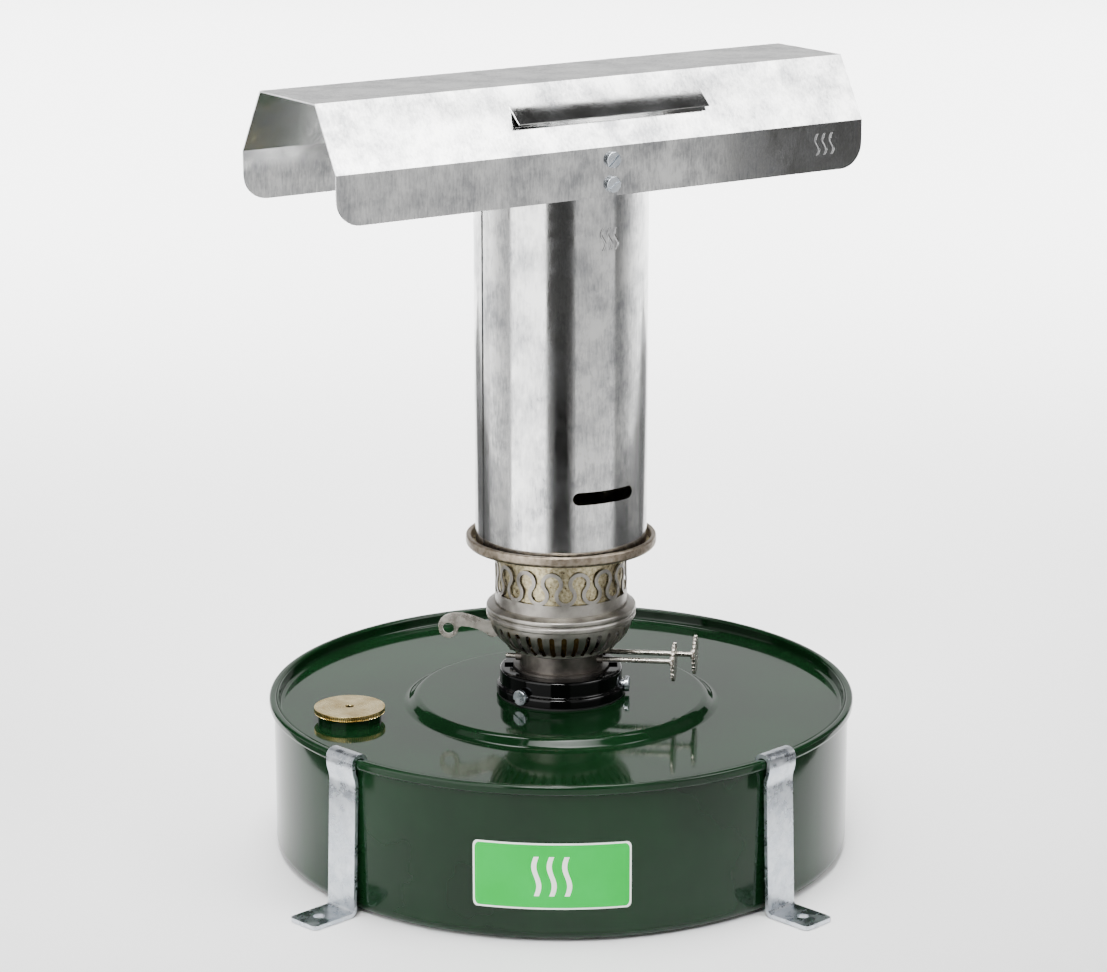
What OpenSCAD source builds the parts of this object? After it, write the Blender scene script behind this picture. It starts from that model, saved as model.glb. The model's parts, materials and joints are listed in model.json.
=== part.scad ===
// Paraffin greenhouse heater: a round fuel tank with a twin flat-wick burner,
// a sheet-metal chimney and a folded deflector hood.
// Millimetres. Origin: centre of the tank's underside. +Z up, -Y is the front.
// An azimuth is measured from the front, positive towards +X.

/* [Tank] */
// Outer radius of the tank wall
tank_r = 147.5; // [140:0.5:155]
// Height of the tank over its rolled rim
rim_z = 80.2; // [78:0.1:90]
// Height of the flat top panel, below the rim
panel_z = 74; // [71:0.1:74]
// Height of the raised middle of the top
plateau_z = 78.4; // [77:0.1:79]
// Distance of the filler from the tank axis
filler_off = 111.7; // [108:0.1:114]
// Azimuth of the filler
filler_az = -73.6; // [-90:0.1:-60]

/* [Burner] */
// Turn of the burner about the tank axis
burner_turn = -7.5; // [-20:0.5:20]
// Outer radius of the burner neck
neck_r = 21.4; // [21:0.1:22]
// Air slots round the burner bowl
bowl_slots = 36; // [24:12:48]
// Loops round the openwork gallery
gallery_loops = 15; // [12:1:15]
// Width of one flat wick
wick_w = 25; // [20:1:25]

/* [Chimney and hood] */
// Outer radius of the chimney
chimney_r = 43.6; // [42:0.1:44]
// Top of the chimney
chimney_top = 365; // [330:1:366]
// Turn of the chimney's own front about the axis
chimney_turn = 31; // [0:1:40]
// Turn of the hood about the axis
hood_turn = 34; // [0:0.5:60]
// Length of the hood
hood_len = 309; // [260:1:330]
// Width of the hood's flat top
hood_top_w = 52.2; // [40:0.1:60]
// Height of the hood's flat top
hood_top_z = 398.5; // [390:0.5:405]

/* [Hold-down brackets] */
// Azimuth of the two front brackets, one each side
bracket_az = 45; // [35:1:50]
// Width of the bracket strap
bracket_w = 19; // [14:1:20]

/* [Hidden] */
$fn = 96;

tank_green = "#2f4a37";
zinc = "#b9bec4";
galvanised = "#a9adb0";
pewter = "#8f8c86";
brass = "#c9b26a";

// Tank sheet and rim
sheet = 1;
tank_edge = 7;
bead_r = 150;
bead_in = 146;
bead_h = 5;
lip_t = 1;
plateau_foot_r = 79;
plateau_edge_r = 74.5;
upstand_r = 28.5;
upstand_top = plateau_z + 9;

// Filler
filler_bore = 12.7;
filler_hole = 14;
filler_ring_r = 16;
filler_ring_top = panel_z + 3.7;
gasket_t = 0.7;
cap_gap = 0.1;
cap_z = filler_ring_top + gasket_t + 2 * cap_gap;
cap_r = 18;
cap_t = 2.2;
cap_spigot = 4;
cap_vent_r = 1.75;

// Collar
collar_z = plateau_z + 1.1;
collar_flange_r = 33.2;
collar_flange_h = 4.3;
collar_r = 31.4;
collar_top = plateau_z + 14.3;
collar_lip_t = 2;
collar_lip_r = 24.9;
lug_r = 28;
collar_lug_gap = 0.3;
collar_screw_az = [-37, 83, 203];
collar_screw_z = plateau_z + 5.4;

// Burner levels: its heights are for a tank whose raised middle is at burner_base,
// and burner_frame() lifts it to this tank's
burner_base = 75.2;
burner_lift = plateau_z - burner_base;
lug_top = burner_base + 14.3 - collar_lip_t - collar_lug_gap;
neck_top = 99.3;
floor_z = 90.6;
bowl_top = 117.1;
band_top = 123.1;
gallery_z = 124.6;
gallery_band_top = 130.8;
gallery_r = 33.7;
gallery_t = 0.7;
ribbon = 1.7;
loop_step = 360 / gallery_loops;
loop_r = 4.65;
loop_z = gallery_band_top + loop_r + ribbon / 2 - 0.2;
loop_rise = 6.2;
loop_half = gallery_r * sin(loop_step / 2);
arch_r = norm([loop_half, loop_rise]) - loop_r;
arch_z = loop_z + loop_rise;
wall = 0.8;
tube_y = 11;
wick_t = 2.4;
tube_in_w = wick_w + 0.6;
tube_in_t = wick_t + 0.6;
tube_bottom = 60;
tube_top = 117.5;
wick_bottom = 8;
wick_top = 118.6;

// Wick winders
shaft_z = 95.6;
shaft_y = 6.7;
shaft_r = 1.3;
bearing_r = 1.36;
wheel_x = 7;
wheel_w = 2.4;
wheel_r = 2.95;
wheel_teeth = 9;
knob_x = [58.5, 68];
knob_r = 10;
knob_t = 1.6;

// Extinguisher
pivot_x = -27;
pivot_z = 109;
lever_t = 1.2;
ring_x = -58.5;
ring_z = 107;
ring_r = 5.6;
ring_hole = 2.9;
snuffer_z = 104;

// Chimney seat
seat_tube_r = 32.4;
seat_floor_z = 154.7;
seat_in = 45.7;
seat_out = 48.5;
seat_top = 160.5;

// Chimney and hood
chimney_t = 0.7;
chimney_z = seat_floor_z + burner_lift + wall + 0.1;
slot_z = 192.2;
slot_l = 34.5;
slot_h = 6.5;
hood_t = 0.7;
hood_w = 2 * (chimney_r + hood_t + 0.05);
hood_low_z = 343.2;
hood_bend_z = 367.5;
hood_corner = 12.7;
hood_lean = atan2((hood_w - hood_top_w) / 2, hood_top_z - hood_bend_z);
flap_l = 112;
flap_h = 12.5;
flap_x = 5;
flap_z = 13.3;
flap_tilt = -10;
hood_screw_z = [349, 361];

// Brackets
strap_t = 2;
foot_r = 178;
foot_hole_r = 167;
foot_hole = 2.9;

// ---------- helpers ----------

// Places children, drawn at the front, round the tank axis
module at_azimuth(a) rotate([0, 0, a]) children();

// The burner's own frame, shafts along its X
module burner_frame() translate([0, 0, burner_lift]) rotate([0, 0, burner_turn]) children();

// A disc section with a rounded lower outer edge, for rotate_extrude
module round_foot_section(r, h, e) {
  translate([0, e]) square([r, h - e]);
  square([r - e, h]);
  translate([r - e, e]) circle(e);
}

// A ring of rectangular section
module ring(r_out, r_in, z0, z1) translate([0, 0, z0]) difference() {
  cylinder(r = r_out, h = z1 - z0);
  translate([0, 0, -1]) cylinder(r = r_in, h = z1 - z0 + 2);
}

// Points of an arc
function arc(c, r, a0, a1, n) = [for (i = [0:n]) c + r * [cos(a0 + (a1 - a0) * i / n), sin(a0 + (a1 - a0) * i / n)]];

// A thin shell turned from an outline of [radius, height] points
module turned_shell(outer, inner) rotate_extrude() polygon(concat(outer, inner));

// ---------- tank ----------

module tank_shell() color(tank_green) rotate_extrude() {
  difference() {
    round_foot_section(tank_r, rim_z - bead_h / 2, tank_edge);
    translate([0, sheet]) round_foot_section(tank_r - sheet, rim_z, tank_edge - sheet);
  }
  translate([bead_in, rim_z - bead_h + 2]) square([bead_r - bead_in, bead_h - 4]);
  translate([bead_in + 2, rim_z - 2]) circle(2);
  translate([bead_in + 2, rim_z - bead_h + 2]) circle(2);
}

module tank_top() color(tank_green) difference() {
  union() {
    rotate_extrude() {
      polygon([
        [0, panel_z - sheet], [bead_in, panel_z - sheet], [bead_in, rim_z - 0.5],
        [bead_in - lip_t, rim_z - 0.5], [bead_in - lip_t, panel_z], [plateau_foot_r, panel_z],
        [plateau_edge_r, plateau_z], [0, plateau_z], [0, plateau_z - sheet],
        [plateau_edge_r - 0.4, plateau_z - sheet], [plateau_edge_r - 0.4, panel_z]
      ]);
    }
    ring(upstand_r, upstand_r - wall, panel_z - sheet, upstand_top);
  }
  translate([0, 0, panel_z - 5]) cylinder(r = upstand_r - wall, h = 30);
  difference() {
    translate([0, 0, panel_z - 2]) cylinder(r = plateau_edge_r - 1, h = plateau_z - sheet - panel_z + 2);
    translate([0, 0, panel_z - 3]) cylinder(r = upstand_r, h = 30);
  }
  at_azimuth(filler_az) translate([0, -filler_off, panel_z - 5]) cylinder(r = filler_hole, h = 10);
}

// A thin sticker that follows the tank wall
module tank_label() color("#35b46a") intersection() {
  ring(tank_r + 0.25, tank_r, 18, 66);
  translate([-43, -160, 18]) cube([86, 60, 48]);
}

// ---------- filler ----------

module at_filler() at_azimuth(filler_az) translate([0, -filler_off, 0]) children();

module filler_neck() color(tank_green) at_filler() {
  ring(filler_ring_r, filler_bore, panel_z, filler_ring_top);
  ring(filler_hole, filler_bore, panel_z - 5, panel_z + 1);
}

module filler_gasket() color("#222222") at_filler() {
  ring(15.4, 13, filler_ring_top + cap_gap, filler_ring_top + cap_gap + gasket_t);
}

module filler_cap() color(brass) at_filler() difference() {
  union() {
    translate([0, 0, cap_z]) cylinder(r = cap_r, h = cap_t);
    translate([0, 0, cap_z - cap_spigot]) cylinder(r = filler_bore - 0.35, h = cap_spigot + 1);
  }
  translate([0, 0, cap_z - 10]) cylinder(r = cap_vent_r, h = 20, $fn = 32);
  translate([0, 0, cap_z - 10]) cylinder(r = filler_bore - 1.6, h = 10);
}

// ---------- collar ----------

module collar_gasket() color("#1a1a1a") ring(collar_flange_r - 0.6, upstand_r + 0.1, plateau_z, collar_z);

module burner_collar() color("#0e0e10") difference() {
  union() {
    ring(collar_flange_r, upstand_r + 0.1, collar_z, collar_z + collar_flange_h);
    rotate_extrude() {
      translate([upstand_r + 0.1, collar_z]) square([collar_r - upstand_r - 0.1, collar_top - 1.5 - collar_z]);
      translate([collar_lip_r, collar_top - collar_lip_t])
        square([collar_r - 1.5 - collar_lip_r, collar_lip_t]);
      translate([collar_r - 1.5, collar_top - 1.5]) circle(1.5);
      translate([upstand_r + 0.1, collar_top - 3]) square([collar_r - 1.5 - upstand_r - 0.1, 1.6]);
    }
  }
  for (a = [90, 270]) at_azimuth(a) translate([-4, -lug_r - 0.4, collar_top - 4]) cube([8, 10, 6]);
  for (a = collar_screw_az) at_azimuth(a)
    translate([0, -40, collar_screw_z]) rotate([-90, 0, 0]) cylinder(r = 2.05, h = 20, $fn = 32);
}

module collar_screws() color(zinc) for (a = collar_screw_az) at_azimuth(a)
  translate([0, -collar_flange_r - 2.3, collar_screw_z]) rotate([-90, 0, 0]) difference() {
    union() {
      cylinder(r = 4, h = 2.2, $fn = 48);
      cylinder(r = 2, h = 6.8, $fn = 32);
    }
    translate([-5, -0.5, -1]) cube([10, 1, 2]);
  }

// ---------- burner ----------

module burner_neck() color(pewter) burner_frame() difference() {
  union() {
    ring(neck_r, neck_r - 1.2, floor_z - 2, neck_top);
    ring(24.5, neck_r - 1.2, lug_top - 2, floor_z);
    translate([0, 0, floor_z - 1]) cylinder(r = neck_r, h = 2);
    for (a = [90, 270]) intersection() {
      ring(lug_r, 22, lug_top - 2.4, lug_top);
      at_azimuth(a + 20 - burner_turn) translate([-3.2, -40, 80]) cube([6.4, 40, 20]);
    }
    for (x = [-22.4, 18.4], y = [-shaft_y, shaft_y])
      translate([x, y, shaft_z]) rotate([0, 90, 0]) cylinder(r = 2.3, h = 4, $fn = 48);
  }
  for (y = [-tube_y, tube_y]) translate([0, y, 90])
    cube([tube_in_w + 2 * wall, tube_in_t + 2 * wall, 30], center = true);
  for (y = [-shaft_y, shaft_y])
    translate([-40, y, shaft_z]) rotate([0, 90, 0]) cylinder(r = bearing_r, h = 80, $fn = 48);
}

module bowl_slot() {
  rotate([90, 0, 0]) {
    translate([-1.35, 103.6, 20]) cube([2.7, 9.8, 20]);
    for (z = [103.6, 113.4]) translate([0, z, 20]) cylinder(r = 1.35, h = 20, $fn = 24);
  }
}

module burner_bowl() color(pewter) burner_frame() difference() {
  rotate_extrude() polygon(concat(
    [[neck_r + 0.1, neck_top + 0.05], [28.2, 101.6]],
    arc([20.5, bowl_top], 16.1, -60, 0, 4),
    arc([20.5, bowl_top], 16.1 - wall, 0, -60, 4),
    [[28 - wall, 102.5], [neck_r + 0.1, neck_top + 0.05 + wall]]
  ));
  for (i = [0:bowl_slots - 1]) at_azimuth(i * 360 / bowl_slots) bowl_slot();
  translate([-40, -1.1, 98]) cube([16, 2.2, 17.4]);
}

module burner_band() color(pewter) burner_frame() rotate_extrude() difference() {
  polygon([
    [35.2, bowl_top], [38.3, bowl_top], [38.3, band_top], [35, gallery_z],
    [32.8, gallery_z], [32.8, gallery_z - wall], [34.6, gallery_z - wall], [35.2, 122.6]
  ]);
  translate([38.5, bowl_top + 3]) circle(0.8, $fn = 24);
}

// A hole through the gallery's wall at the front, at one height
module wall_hole(z, r) translate([0, 0, z]) rotate([90, 0, 0]) translate([0, 0, 28]) cylinder(r = r, h = 8, $fn = 48);

// Openwork: low round holes open at the top, and arched holes between them
module gallery() color(pewter) burner_frame() difference() {
  ring(gallery_r, gallery_r - gallery_t, gallery_z, arch_z + arch_r + ribbon / 2);
  for (i = [0:gallery_loops - 1]) at_azimuth(4 - burner_turn + i * loop_step) {
    wall_hole(loop_z, loop_r - ribbon / 2);
    translate([-1.5, -36, loop_z]) cube([3, 8, 20]);
    at_azimuth(loop_step / 2) {
      wall_hole(arch_z, arch_r - ribbon / 2);
      translate([-1.5, -36, gallery_band_top]) cube([3, 8, arch_z - gallery_band_top]);
    }
  }
}

module wick_tube(y) translate([0, y, tube_bottom]) {
  inner = y > 0 ? -1 : 1;
  difference() {
    translate([-tube_in_w / 2 - wall, -tube_in_t / 2 - wall, 0])
      cube([tube_in_w + 2 * wall, tube_in_t + 2 * wall, tube_top - tube_bottom]);
    translate([-tube_in_w / 2, -tube_in_t / 2, -1]) cube([tube_in_w, tube_in_t, tube_top]);
    for (x = [-wheel_x, wheel_x])
      translate([x - 2, inner * (tube_in_t / 2 + wall / 2) - 1, shaft_z - tube_bottom - 4]) cube([4, 2, 8]);
  }
}

module wick(y) translate([-wick_w / 2, y - wick_t / 2, wick_bottom]) cube([wick_w, wick_t, wick_top - wick_bottom]);

module wick_tube_front() color(brass) burner_frame() wick_tube(-tube_y);
module wick_tube_rear() color(brass) burner_frame() wick_tube(tube_y);
module wick_front() color("#e6e0d0") burner_frame() wick(-tube_y);
module wick_rear() color("#e6e0d0") burner_frame() wick(tube_y);

// Domed plate with a slot over each wick
module flame_cone() color(brass) burner_frame() difference() {
  rotate_extrude() polygon(concat(
    [[0, 128.4]], arc([0, 112.4], 17.6, 90, 40, 8), [[20, 121.2], [35.1, 121.2]],
    [[35.1, 120.4], [19.4, 120.4]], arc([0, 112.4], 16.8, 36, 90, 8)
  ));
  for (y = [-tube_y, tube_y]) translate([0, y, 124]) cube([29, 5.4, 30], center = true);
}

// ---------- winders ----------

module winder_shaft(i) {
  y = i == 0 ? -shaft_y : shaft_y;
  translate([-27.5, y, shaft_z]) rotate([0, 90, 0]) cylinder(r = shaft_r, h = knob_x[i] + 28.5, $fn = 48);
}

module winder_wheels(i) {
  y = i == 0 ? -shaft_y : shaft_y;
  for (x = [-wheel_x, wheel_x]) translate([x - wheel_w / 2, y, shaft_z]) rotate([0, 90, 0]) difference() {
    cylinder(r = wheel_r, h = wheel_w, $fn = 48);
    translate([0, 0, -1]) cylinder(r = shaft_r, h = wheel_w + 2, $fn = 48);
    for (t = [0:wheel_teeth - 1]) rotate([0, 0, t * 360 / wheel_teeth])
      translate([wheel_r + 0.1, 0, -1]) cylinder(r = 0.7, h = wheel_w + 2, $fn = 16);
  }
}

module winder_knob(i) {
  y = i == 0 ? -shaft_y : shaft_y;
  notches = 26;
  translate([knob_x[i] - knob_t / 2, y, shaft_z]) rotate([0, 90, 0]) difference() {
    union() {
      cylinder(r = knob_r, h = knob_t);
      translate([0, 0, -1.4]) cylinder(r = 2.4, h = knob_t + 1.4, $fn = 32);
    }
    translate([0, 0, -3]) cylinder(r = shaft_r, h = knob_t + 6, $fn = 48);
    for (t = [0:notches - 1]) rotate([0, 0, t * 360 / notches])
      translate([knob_r + 0.15, 0, -1]) cylinder(r = 0.75, h = knob_t + 2, $fn = 16);
  }
}

module winder_shaft_front() color(pewter) burner_frame() winder_shaft(0);
module winder_shaft_rear() color(pewter) burner_frame() winder_shaft(1);
module winder_wheels_front() color(pewter) burner_frame() winder_wheels(0);
module winder_wheels_rear() color(pewter) burner_frame() winder_wheels(1);
module winder_knob_front() color(pewter) burner_frame() winder_knob(0);
module winder_knob_rear() color(pewter) burner_frame() winder_knob(1);

// ---------- extinguisher ----------

module lever_bracket() color(pewter) burner_frame() difference() {
  union() {
    translate([-26.5, -2.5, 103.4]) cube([5.5, 5, 0.8]);
    for (y = [-2.5, 1.7]) translate([-28.3, y, 104.2]) cube([3.6, 0.8, 7]);
  }
  translate([pivot_x, -5, pivot_z]) rotate([-90, 0, 0]) cylinder(r = 1, h = 10, $fn = 48);
  translate([-30, -1.1, 100]) cube([12, 2.2, 6]);
}

module lever_pin() color(zinc) burner_frame() translate([pivot_x, -3, pivot_z])
  rotate([-90, 0, 0]) cylinder(r = 1, h = 6, $fn = 48);

// A flat comma: finger ring outside, pivot in the bowl wall, toe under the snuffer
module extinguisher_lever() color(pewter) burner_frame() translate([0, lever_t / 2, 0]) rotate([90, 0, 0])
  difference() {
    union() {
      translate([ring_x, ring_z, 0]) cylinder(r = ring_r, h = lever_t, $fn = 64);
      linear_extrude(lever_t) polygon([
        [ring_x - 5.3, ring_z + 1.5], [ring_x - 4.3, ring_z + 4.4], [ring_x - 2.3, ring_z + 6.5],
        [ring_x + 0.6, ring_z + 7.8], [-55, 115.4], [-51, 115.4], [-45.4, 114.1], [-38.9, 111.7], [-33, 111.2],
        [-27, 112], [-24, 111], [-19, 107], [-16, 103.6], [-12, 103.6], [-12, 102.2], [-18, 102.2],
        [-24, 105], [-30, 104.2], [-36.3, 102.8], [-39.5, 105.1], [-43.4, 107], [-47.9, 108], [-51.6, 108.2],
        [ring_x + 4.6, ring_z]
      ]);
    }
    translate([ring_x, ring_z, -1]) cylinder(r = ring_hole, h = 5, $fn = 64);
    translate([pivot_x, pivot_z, -1]) cylinder(r = 1.06, h = 5, $fn = 48);
  }

// Two sleeves round the wick tubes, joined by a bridge that the lever lifts
module snuffer() color(pewter) burner_frame() difference() {
  union() {
    translate([-14.8, -14.6, snuffer_z]) cube([29.6, 29.2, 1]);
    for (y = [-tube_y, tube_y]) translate([-14.8, y - 3.6, snuffer_z]) cube([29.6, 7.2, 7.6]);
  }
  for (y = [-tube_y, tube_y]) translate([0, y, snuffer_z])
    cube([tube_in_w + 2 * wall + 0.6, tube_in_t + 2 * wall + 0.6, 30], center = true);
}

// ---------- chimney ----------

module chimney_seat() color("#b8a878") translate([0, 0, burner_lift]) rotate_extrude() {
  polygon([
    [seat_tube_r - wall, 121.8], [seat_tube_r, 121.8], [seat_tube_r, seat_floor_z],
    [seat_in + wall, seat_floor_z], [seat_in + wall, seat_top - 2], [seat_in, seat_top - 2],
    [seat_in, seat_floor_z + wall], [seat_tube_r - wall, seat_floor_z + wall]
  ]);
  translate([seat_in + 1.4, seat_top - 1.4]) circle(1.4);
  translate([seat_in + 1.4, seat_top - 3.6]) circle(1.4);
  translate([seat_in, seat_top - 3.6]) square([2.8, 2.2]);
}

module chimney() color(galvanised) difference() {
  ring(chimney_r, chimney_r - chimney_t, chimney_z, chimney_top);
  at_azimuth(chimney_turn) rotate([90, 0, 0]) {
    translate([-slot_l / 2 + slot_h / 2, slot_z - slot_h / 2, 30]) cube([slot_l - slot_h, slot_h, 20]);
    for (x = [-1, 1]) translate([x * (slot_l - slot_h) / 2, slot_z, 30]) cylinder(r = slot_h / 2, h = 20, $fn = 48);
  }
  for (s = [0, 180], z = hood_screw_z) rotate([0, 0, hood_turn + s]) translate([0, 0, z])
    rotate([90, 0, 0]) cylinder(r = 2.1, h = 60, $fn = 32);
}

// ---------- hood ----------

// Cross-section of the hood sheet, across and up; d thins it from outside
module hood_section(d) polygon([
  [-hood_w / 2 + d, hood_low_z - 1], [-hood_w / 2 + d, hood_bend_z - d / 4],
  [-hood_top_w / 2 + 0.6 * d, hood_top_z - d], [hood_top_w / 2 - 0.6 * d, hood_top_z - d],
  [hood_w / 2 - d, hood_bend_z - d / 4], [hood_w / 2 - d, hood_low_z - 1]
]);

// The hood's outline from the side, with rounded lower corners
module hood_side() {
  translate([-hood_len / 2, hood_low_z + hood_corner]) square([hood_len, 80]);
  translate([-hood_len / 2 + hood_corner, hood_low_z]) square([hood_len - 2 * hood_corner, 60]);
  for (x = [-1, 1]) translate([x * (hood_len / 2 - hood_corner), hood_low_z + hood_corner]) circle(hood_corner);
}

// Places children on the hood's front slope: X along it, Z up it from the bend
module on_slope() translate([0, -hood_w / 2, hood_bend_z]) rotate([-hood_lean, 0, 0]) children();

module hood() color(galvanised) rotate([0, 0, hood_turn]) {
  difference() {
    intersection() {
      rotate([90, 0, 90]) translate([0, 0, -hood_len / 2]) linear_extrude(hood_len) difference() {
        hood_section(0);
        hood_section(hood_t);
        translate([-60, hood_low_z - 2]) square([120, 1]);
      }
      rotate([90, 0, 0]) translate([0, 0, -60]) linear_extrude(120) hood_side();
    }
    for (s = [0, 180], z = hood_screw_z) rotate([0, 0, s]) translate([0, 0, z])
      rotate([90, 0, 0]) cylinder(r = 2.1, h = 60, $fn = 32);
    for (s = [0, 180]) rotate([0, 0, s]) on_slope()
      translate([flap_x - flap_l / 2, -3, flap_z]) cube([flap_l, 6, flap_h]);
  }
  for (s = [0, 180]) rotate([0, 0, s]) on_slope() translate([flap_x, 0, flap_z + flap_h + 0.3])
    rotate([flap_tilt, 0, 0]) translate([-flap_l / 2 + 0.3, 0, -flap_h]) cube([flap_l - 0.6, hood_t, flap_h]);
}

module hood_screws() color(zinc) for (s = [0, 180], z = hood_screw_z)
  rotate([0, 0, hood_turn + s]) translate([0, -hood_w / 2 - 2.3, z]) rotate([-90, 0, 0]) difference() {
    union() {
      cylinder(r = 4, h = 2.2, $fn = 48);
      cylinder(r = 2, h = 7.4, $fn = 32);
    }
    rotate([0, 0, s / 6 + z]) translate([-5, -0.5, -1]) cube([10, 1, 2]);
  }

module hood_nuts() color(zinc) for (s = [0, 180], z = hood_screw_z)
  rotate([0, 0, hood_turn + s]) translate([0, -chimney_r + chimney_t + 0.3, z]) rotate([-90, 0, 0]) difference() {
    cylinder(r = 4, h = 2.6, $fn = 6);
    translate([0, 0, -1]) cylinder(r = 2.02, h = 5, $fn = 32);
  }

// ---------- brackets ----------

// One strap: a hook over the rim, down the wall, and a foot with a screw hole
module bracket(a) color(zinc) at_azimuth(a) difference() {
  rotate([90, 0, -90]) translate([0, 0, -bracket_w / 2]) linear_extrude(bracket_w) {
    x0 = 142.4;
    hook_low = rim_z - 4;
    jog_low = rim_z - 11.1;
    polygon([
      [x0, hook_low], [x0, rim_z + 2.4], [152.3, rim_z + 2.4], [152.3, jog_low + 4.5], [150.6, jog_low],
      [153, 4], [153, strap_t], [foot_r, strap_t], [foot_r, 0], [151, 0], [150.6, 2.2],
      [148.3, jog_low + 0.4], [150.3, jog_low + 5], [150.3, rim_z + 0.4], [x0 + strap_t, rim_z + 0.4],
      [x0 + strap_t, hook_low]
    ]);
  }
  translate([0, -foot_hole_r, -1]) cylinder(r = foot_hole, h = 5, $fn = 48);
}

module bracket_front_left() bracket(-bracket_az);
module bracket_front_right() bracket(bracket_az);
module bracket_rear() bracket(180);

tank_shell();
tank_top();
tank_label();
filler_neck();
filler_gasket();
filler_cap();
collar_gasket();
burner_collar();
collar_screws();
burner_neck();
burner_bowl();
burner_band();
gallery();
wick_tube_front();
wick_tube_rear();
wick_front();
wick_rear();
flame_cone();
winder_shaft_front();
winder_shaft_rear();
winder_wheels_front();
winder_wheels_rear();
winder_knob_front();
winder_knob_rear();
lever_bracket();
lever_pin();
extinguisher_lever();
snuffer();
chimney_seat();
chimney();
hood();
hood_screws();
hood_nuts();
bracket_front_left();
bracket_front_right();
bracket_rear();
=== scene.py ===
import bmesh
import bpy
import json
from math import atan2, cos, pi, radians, sin, tau
from mathutils import Matrix, Vector


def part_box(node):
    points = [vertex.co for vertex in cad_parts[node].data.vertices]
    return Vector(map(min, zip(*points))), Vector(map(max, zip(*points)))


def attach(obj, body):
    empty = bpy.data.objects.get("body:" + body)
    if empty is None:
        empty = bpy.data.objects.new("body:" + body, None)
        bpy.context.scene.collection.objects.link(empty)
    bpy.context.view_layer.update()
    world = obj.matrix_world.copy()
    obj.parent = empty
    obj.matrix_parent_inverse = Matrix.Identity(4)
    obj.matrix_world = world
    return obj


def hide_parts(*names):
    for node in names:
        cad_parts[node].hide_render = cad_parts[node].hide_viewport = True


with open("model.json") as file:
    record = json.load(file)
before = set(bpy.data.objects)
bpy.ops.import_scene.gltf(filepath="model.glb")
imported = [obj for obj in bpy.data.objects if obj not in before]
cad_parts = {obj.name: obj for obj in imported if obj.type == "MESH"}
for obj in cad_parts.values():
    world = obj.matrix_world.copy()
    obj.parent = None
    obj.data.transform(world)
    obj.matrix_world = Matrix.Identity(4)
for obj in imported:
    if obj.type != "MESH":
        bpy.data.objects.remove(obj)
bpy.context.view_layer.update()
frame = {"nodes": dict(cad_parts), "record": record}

MM = 0.001

# ---------- camera ----------

CAMERA_BACK, CAMERA_UP = 1.6687, 0.6298
CAMERA_PITCH = radians(14.836)
camera_data = bpy.data.cameras.new("camera")
camera_data.sensor_width = 36
camera_data.lens = 110.61
camera_data.shift_x = -0.0068
camera_data.clip_end = 50
camera = bpy.data.objects.new("camera", camera_data)
camera.location = (0, -CAMERA_BACK, CAMERA_UP)
camera.rotation_euler = (pi / 2 - CAMERA_PITCH, 0, 0)
bpy.context.scene.collection.objects.link(camera)
bpy.context.scene.camera = camera

# ---------- sizes, in millimetres, from the frame ----------


def box_mm(node):
    """Lowest and highest corner of a CAD node, in millimetres."""
    low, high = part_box(node)
    return low / MM, high / MM


RIM_R = box_mm("tank_shell")[1].x
RIM_Z = box_mm("tank_shell")[1].z
WALL_R = RIM_R - 2.5
BEAD_IN = RIM_R - 4
PANEL_Z = box_mm("tank_top")[0].z + 1
COLLAR_Z = box_mm("burner_collar")[0].z
COLLAR_TOP = box_mm("burner_collar")[1].z
COLLAR_R = box_mm("burner_collar")[1].x
PLATEAU_Z = box_mm("collar_gasket")[0].z
BOWL_FOOT = box_mm("burner_bowl")[0].z
BOWL_TOP = box_mm("burner_bowl")[1].z
BAND_TOP = box_mm("burner_band")[1].z
SEAT_LOW, SEAT_HIGH = box_mm("chimney_seat")
CHIMNEY_LOW, CHIMNEY_HIGH = box_mm("chimney")
CHIMNEY_R = CHIMNEY_HIGH.x
HOOD_LOW, HOOD_HIGH = box_mm("hood")

# Turns about the tank's axis, positive towards +X from the front
BURNER_TURN = radians(-7.5)
HOOD_TURN = radians(34)
CHIMNEY_TURN = radians(31)
BRACKET_TURN = radians(45)
COLLAR_SCREW_TURNS = [radians(a) for a in (-37, 83, 203)]

ABOUT_Z = {name: Matrix.Rotation(turn, 4, "Z") for name, turn in (
    ("burner", BURNER_TURN), ("hood", HOOD_TURN), ("chimney", CHIMNEY_TURN))}

# ---------- materials ----------


def srgb(code):
    """An sRGB hex value as linear RGBA."""
    channels = [int(code[i:i + 2], 16) / 255 for i in (1, 3, 5)]
    return [c / 12.92 if c <= 0.04045 else ((c + 0.055) / 1.055) ** 2.4 for c in channels] + [1]


def add(tree, kind, inputs=None, **settings):
    """Adds a node with its settings; an input is a value or another node's output."""
    made = tree.nodes.new(kind)
    for name, value in settings.items():
        setattr(made, name, value)
    for key, value in (inputs or {}).items():
        if isinstance(value, bpy.types.NodeSocket):
            tree.links.new(value, made.inputs[key])
        else:
            made.inputs[key].default_value = value
    return made


def start_material(name, **shader):
    """A material with its shader, and the object's own coordinates in metres."""
    made = bpy.data.materials.new(name)
    made.use_nodes = True
    tree = made.node_tree
    tree.nodes.clear()
    surface = add(tree, "ShaderNodeBsdfPrincipled", {k.replace("_", " "): v for k, v in shader.items()})
    out = add(tree, "ShaderNodeOutputMaterial")
    tree.links.new(surface.outputs[0], out.inputs["Surface"])
    place = add(tree, "ShaderNodeTexCoord").outputs["Object"]
    return made, tree, surface, place


def noise(tree, place, size_mm, detail=3, roughness=0.5):
    """Noise whose lumps are about size_mm across."""
    return add(tree, "ShaderNodeTexNoise", {
        "Vector": place, "Scale": 1 / (size_mm * MM),
        "Detail": detail, "Roughness": roughness}).outputs["Fac"]


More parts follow.
